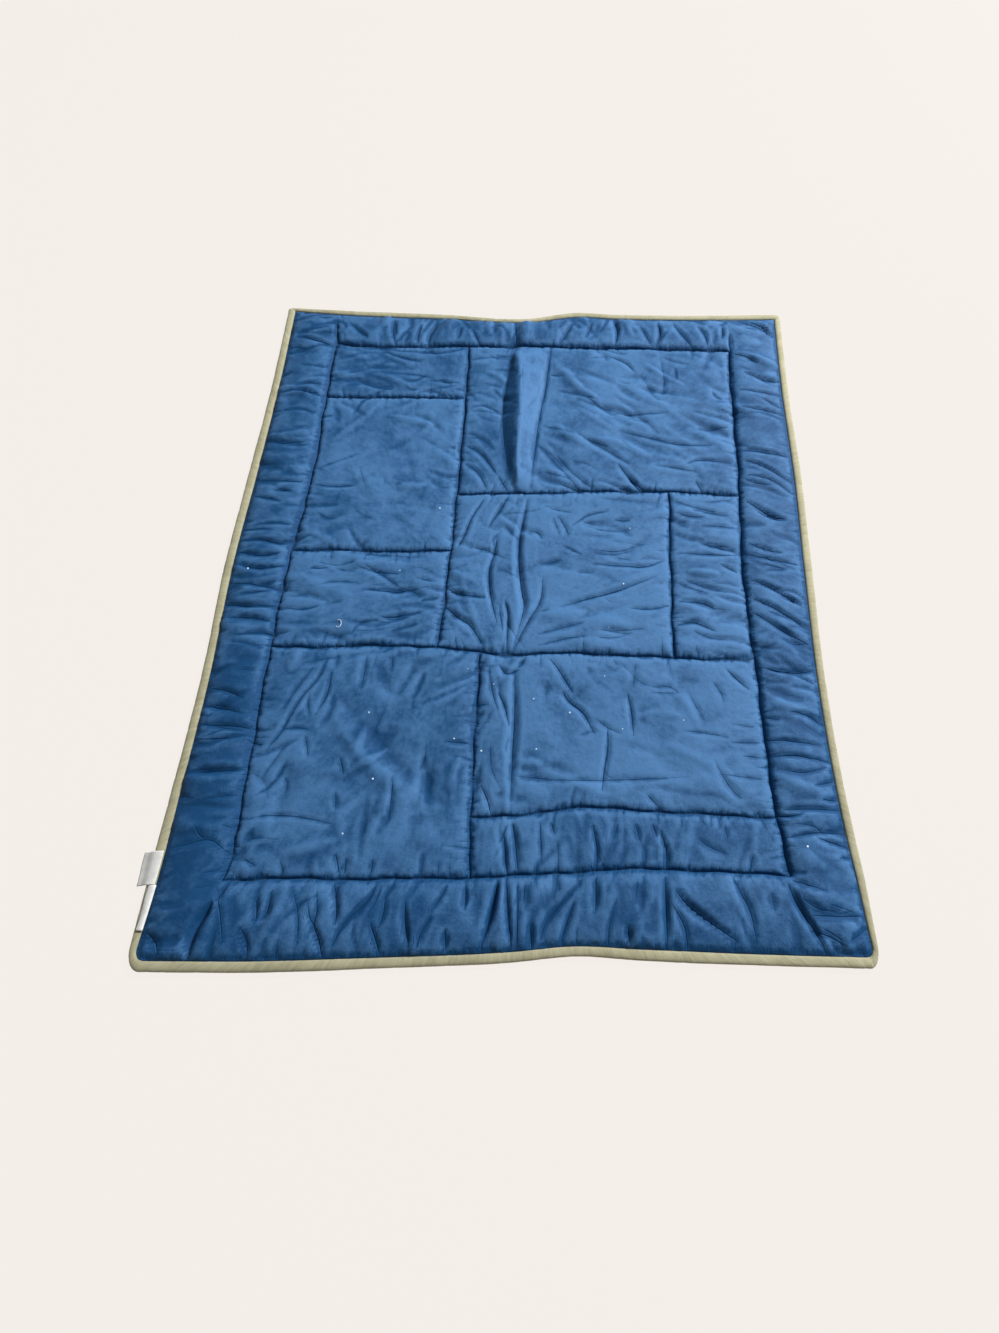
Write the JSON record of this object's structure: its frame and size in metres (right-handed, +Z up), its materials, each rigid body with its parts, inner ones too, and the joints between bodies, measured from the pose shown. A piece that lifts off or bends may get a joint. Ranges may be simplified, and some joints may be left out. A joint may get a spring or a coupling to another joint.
{
  "type": "crib quilt",
  "caption": "Padded rectangular crib quilt laid flat, quilted into panels inside a puffed border, with folded binding all round and a blank care label.",
  "frame": {"origin": "centre of the bounding box on the surface that the quilt lies on", "axes": "+Y along the quilt's length, away from the label's end; +Z up, out of the quilted face; +X to the right"},
  "size_m": [0.8874, 1.0972, 0.0257],
  "materials": {
    "navy_cotton": "plain woven cotton, quilted",
    "khaki_binding": "folded bias strip",
    "white_label": "plain white label cloth"
  },
  "bodies": {
    "root": {"quilt_body": "navy_cotton", "binding_top": "khaki_binding", "binding_right": "khaki_binding", "binding_bottom": "khaki_binding", "binding_left": "khaki_binding", "care_label": "white_label", "label_leaf": "white_label"}
  },
  "joints": []
}
